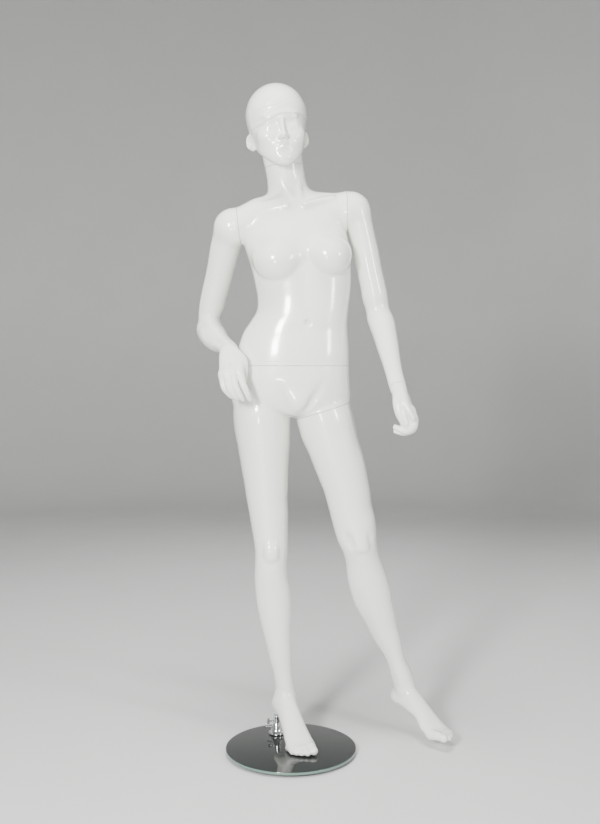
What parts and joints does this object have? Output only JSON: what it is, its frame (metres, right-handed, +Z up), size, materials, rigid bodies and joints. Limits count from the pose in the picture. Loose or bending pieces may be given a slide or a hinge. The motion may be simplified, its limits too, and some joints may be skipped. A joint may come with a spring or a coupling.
{
  "type": "full body mannequin",
  "caption": "Standing female shop mannequin in glossy white shells, left leg out on tiptoe, with turning head, arms, hands and leg, held by a heel rod on a round glass base.",
  "frame": {"origin": "centre of the round glass base, on the floor, in the plane of the pads' undersides", "axes": "+Z up; the figure faces -Y; +X is the figure's own left"},
  "size_m": [0.7105, 0.3634, 1.8016],
  "materials": {
    "body_gloss": "high gloss lacquer",
    "fitting_steel": "zinc plated",
    "chrome": "polished",
    "glass": "tinted, polished edge",
    "rubber": "matt"
  },
  "bodies": {
    "base": {"glass_base": "glass", "cone_flange": "chrome", "flange_gasket": "rubber", "base_washer": "fitting_steel", "base_bolt": "fitting_steel", "centre_pad": "rubber", "edge_pad_1": "rubber", "edge_pad_2": "rubber", "edge_pad_3": "rubber", "edge_pad_4": "rubber", "edge_pad_5": "rubber", "edge_pad_6": "rubber"},
    "thumbscrew": {"rod_thumbscrew": "chrome"},
    "set_screw": {"rod_set_screw": "chrome"},
    "rod": {"heel_rod": "chrome"},
    "lower_body": {"lower_body_shell": "body_gloss", "heel_socket": "fitting_steel", "waist_post_plate": "fitting_steel", "waist_locating_pin": "fitting_steel", "left_thigh_slotted_plate": "fitting_steel"},
    "torso": {"torso_shell": "body_gloss", "waist_socket_plate": "fitting_steel", "neck_slotted_plate": "fitting_steel", "right_shoulder_slotted_plate": "fitting_steel", "left_shoulder_slotted_plate": "fitting_steel"},
    "head": {"head_shell": "body_gloss", "neck_lug_flange": "fitting_steel"},
    "right_arm": {"right_arm_shell": "body_gloss", "right_shoulder_lug_flange": "fitting_steel", "right_wrist_slotted_plate": "fitting_steel"},
    "left_arm": {"left_arm_shell": "body_gloss", "left_shoulder_lug_flange": "fitting_steel", "left_wrist_slotted_plate": "fitting_steel"},
    "right_hand": {"right_hand": "body_gloss", "right_wrist_lug_flange": "fitting_steel"},
    "left_hand": {"left_hand": "body_gloss", "left_wrist_lug_flange": "fitting_steel"},
    "left_leg": {"left_leg_shell": "body_gloss", "left_thigh_lug_flange": "fitting_steel"}
  },
  "joints": [
    {"name": "rod_turn", "type": "hinge", "parent": "base", "child": "rod", "pos_m": [-0.04, 0.095, 0.05], "axis": [0, 0, 1], "range_deg": [-40, 40]},
    {"name": "figure_lift", "type": "slide", "parent": "rod", "child": "lower_body", "axis": [0, 0, 1], "range_m": [0, 0.028]},
    {"name": "torso_lift", "type": "slide", "parent": "lower_body", "child": "torso", "axis": [0, 0, 1], "range_m": [0, 0.055]},
    {"name": "head_turn", "type": "hinge", "parent": "torso", "child": "head", "pos_m": [-0.02, 0.027, 1.577], "axis": [-0.09, 0, 0.9959], "range_deg": [-80, 80]},
    {"name": "right_arm_swing", "type": "hinge", "parent": "torso", "child": "right_arm", "pos_m": [-0.141, 0.02, 1.416], "axis": [-0.9929, 0, -0.119], "range_deg": [0, 80]},
    {"name": "left_arm_swing", "type": "hinge", "parent": "torso", "child": "left_arm", "pos_m": [0.1515, 0.02, 1.459], "axis": [-0.9995, 0, -0.03], "range_deg": [-30, 80]},
    {"name": "right_hand_turn", "type": "hinge", "parent": "right_arm", "child": "right_hand", "pos_m": [-0.166, -0.042, 1.083], "axis": [0.3298, -0.8845, -0.3298], "range_deg": [-30, 30]},
    {"name": "left_hand_turn", "type": "hinge", "parent": "left_arm", "child": "left_hand", "pos_m": [0.28, -0.072, 0.984], "axis": [0.1802, -0.5105, -0.8408], "range_deg": [-40, 40]},
    {"name": "left_leg_turn", "type": "hinge", "parent": "lower_body", "child": "left_leg", "pos_m": [0.08, 0.022, 0.914], "axis": [0.3, 0, -0.9539], "range_deg": [-20, 20]},
    {"name": "thumbscrew_turn", "type": "hinge", "parent": "base", "child": "thumbscrew", "pos_m": [-0.06, 0.095, 0.048], "axis": [-1, 0, 0], "range_deg": [-180, 180]},
    {"name": "set_screw_turn", "type": "hinge", "parent": "base", "child": "set_screw", "pos_m": [-0.06, 0.095, 0.033], "axis": [-1, 0, 0], "range_deg": [-180, 180]}
  ]
}
